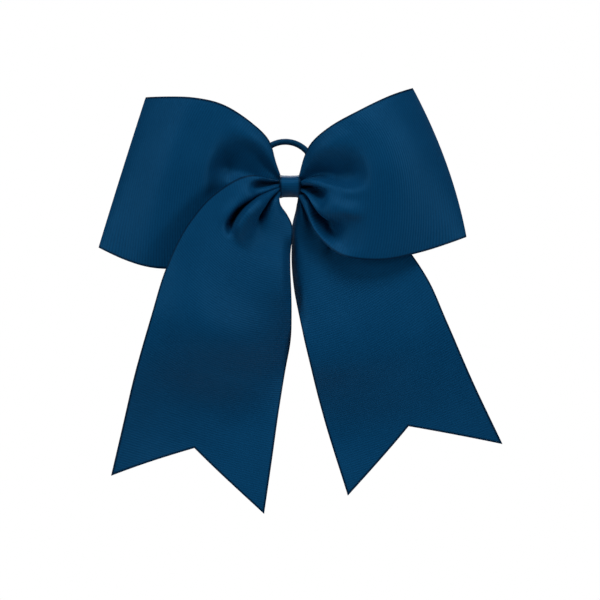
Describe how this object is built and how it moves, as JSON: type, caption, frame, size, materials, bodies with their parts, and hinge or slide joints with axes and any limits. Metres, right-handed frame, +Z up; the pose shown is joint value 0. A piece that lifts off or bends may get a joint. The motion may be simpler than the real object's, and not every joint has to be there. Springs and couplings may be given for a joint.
{
  "type": "cheer hair bow",
  "caption": "Large navy grosgrain ribbon hair bow with open loops and fishtail-cut tails, gathered under a narrow wrap that holds a round hair elastic.",
  "frame": {"origin": "middle of the run of elastic that the knot's wrap holds, directly behind the knot, which is the axis that the elastic swings on", "axes": "+Z up as the bow is worn, from the tails to the loops; the bow's front faces -Y; +X to the right as the front is seen"},
  "size_m": [0.1947, 0.0359, 0.2051],
  "materials": {
    "grosgrain": "matte",
    "hot_glue": "satin",
    "thread": "matte",
    "elastic_cover": "matte",
    "elastic_rubber": "matte",
    "elastic_bond": "satin"
  },
  "bodies": {
    "bow": {"left_loop": "grosgrain", "right_loop": "grosgrain", "ribbon_gather": "grosgrain", "knot_wrap": "grosgrain", "wrap_glue": "hot_glue", "gather_thread": "thread"},
    "left_tail": {"left_tail": "grosgrain"},
    "right_tail": {"right_tail": "grosgrain"},
    "hair_elastic": {"elastic_sheath": "elastic_cover", "elastic_core": "elastic_rubber", "elastic_joint": "elastic_bond"}
  },
  "joints": [
    {"name": "elastic_swing", "type": "hinge", "parent": "bow", "child": "hair_elastic", "pos_m": [0, 0, 0], "axis": [-1, 0, 0], "range_deg": [0, 160]},
    {"name": "left_tail_swing", "type": "hinge", "parent": "bow", "child": "left_tail", "pos_m": [-0.0053, -0.0092, 0.0036], "axis": [-1, 0, 0], "range_deg": [0, 35]},
    {"name": "right_tail_swing", "type": "hinge", "parent": "bow", "child": "right_tail", "pos_m": [0.0053, -0.0063, 0], "axis": [-1, 0, 0], "range_deg": [-8, 8]}
  ]
}
